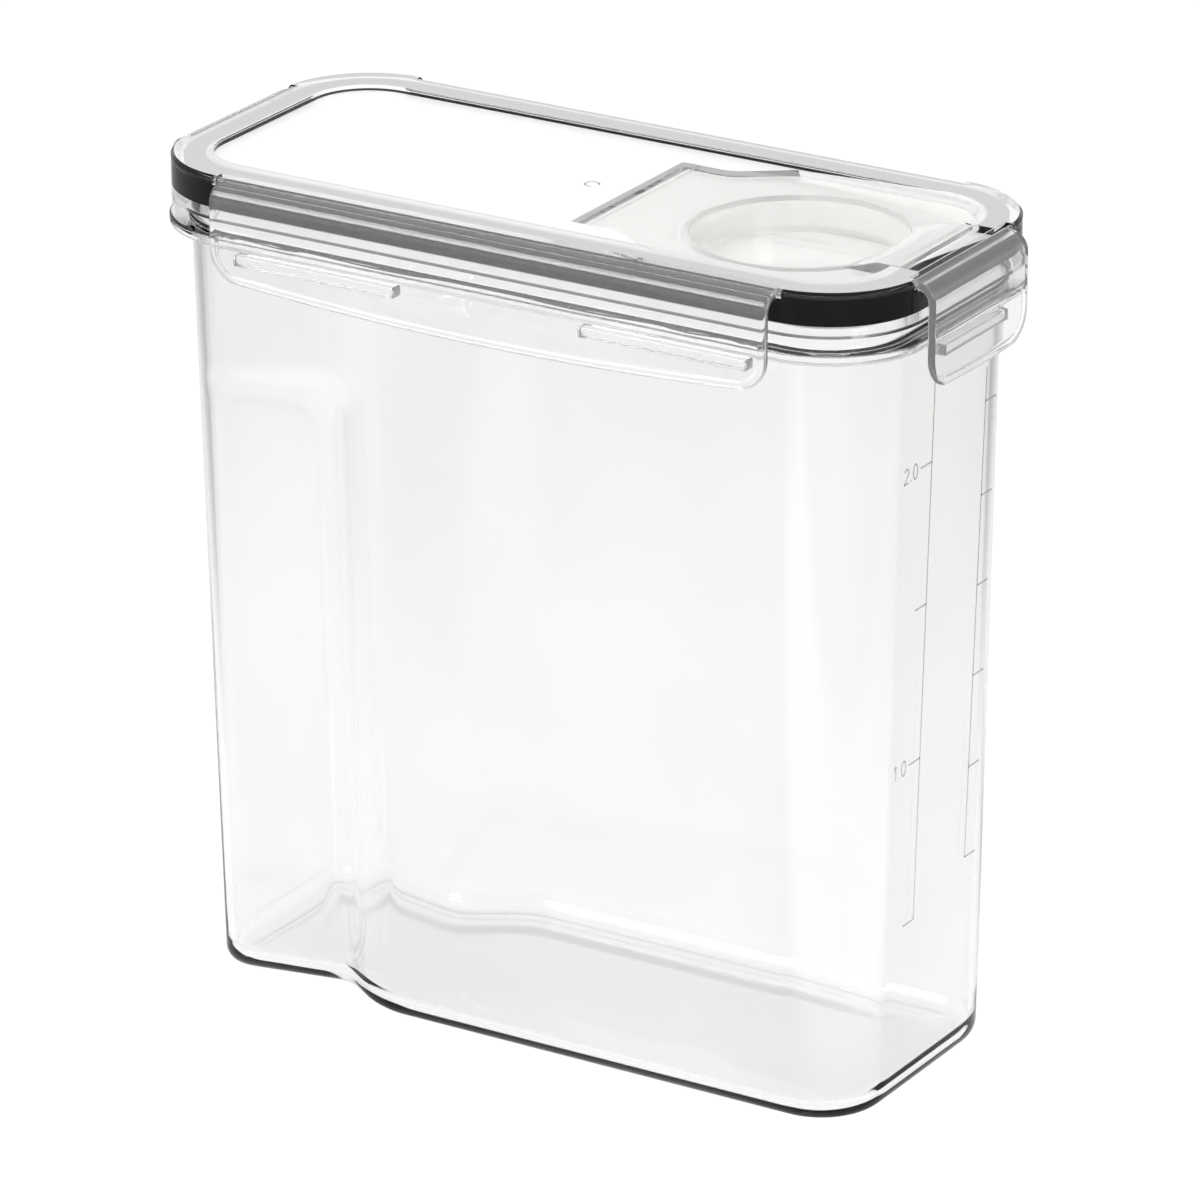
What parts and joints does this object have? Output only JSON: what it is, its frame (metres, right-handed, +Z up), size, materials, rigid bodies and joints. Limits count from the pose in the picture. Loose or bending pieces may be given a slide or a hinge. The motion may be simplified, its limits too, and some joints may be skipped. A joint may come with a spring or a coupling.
{
  "type": "food storage container",
  "caption": "Clear upright food container with hand grips, a gasketed lid held by fold-down side latches, and a hinged flip cap whose dish plugs the pouring opening.",
  "frame": {"origin": "middle of the container's foot, on the surface it stands on", "axes": "+X along the container towards the pouring end, +Y to the back, +Z up"},
  "size_m": [0.2092, 0.098, 0.21],
  "materials": {
    "clear_body": "clear, polished",
    "clear_lid": "clear, polished",
    "clear_latch": "clear, polished",
    "gasket_black": "smooth silicone",
    "seal_white": "smooth silicone"
  },
  "bodies": {
    "container": {"container_body": "clear_body", "lid": "clear_lid", "lid_gasket": "gasket_black"},
    "cap": {"flip_cap": "clear_lid", "cap_seal_ring": "seal_white"},
    "front_latch": {"front_latch": "clear_latch"},
    "back_latch": {"back_latch": "clear_latch"},
    "right_latch": {"right_latch": "clear_latch"},
    "left_latch": {"left_latch": "clear_latch"}
  },
  "joints": [
    {"name": "cap_hinge", "type": "hinge", "parent": "container", "child": "cap", "pos_m": [0.0116, 0, 0.20625], "axis": [0, -1, 0], "range_deg": [0, 105]},
    {"name": "front_latch_hinge", "type": "hinge", "parent": "container", "child": "front_latch", "pos_m": [0, -0.0436, 0.2085], "axis": [-1, 0, 0], "range_deg": [0, 110]},
    {"name": "back_latch_hinge", "type": "hinge", "parent": "container", "child": "back_latch", "pos_m": [0, 0.0436, 0.2085], "axis": [1, 0, 0], "range_deg": [0, 110]},
    {"name": "right_latch_hinge", "type": "hinge", "parent": "container", "child": "right_latch", "pos_m": [0.0992, 0, 0.2085], "axis": [0, -1, 0], "range_deg": [0, 110]},
    {"name": "left_latch_hinge", "type": "hinge", "parent": "container", "child": "left_latch", "pos_m": [-0.0992, 0, 0.2085], "axis": [0, 1, 0], "range_deg": [0, 110]}
  ]
}
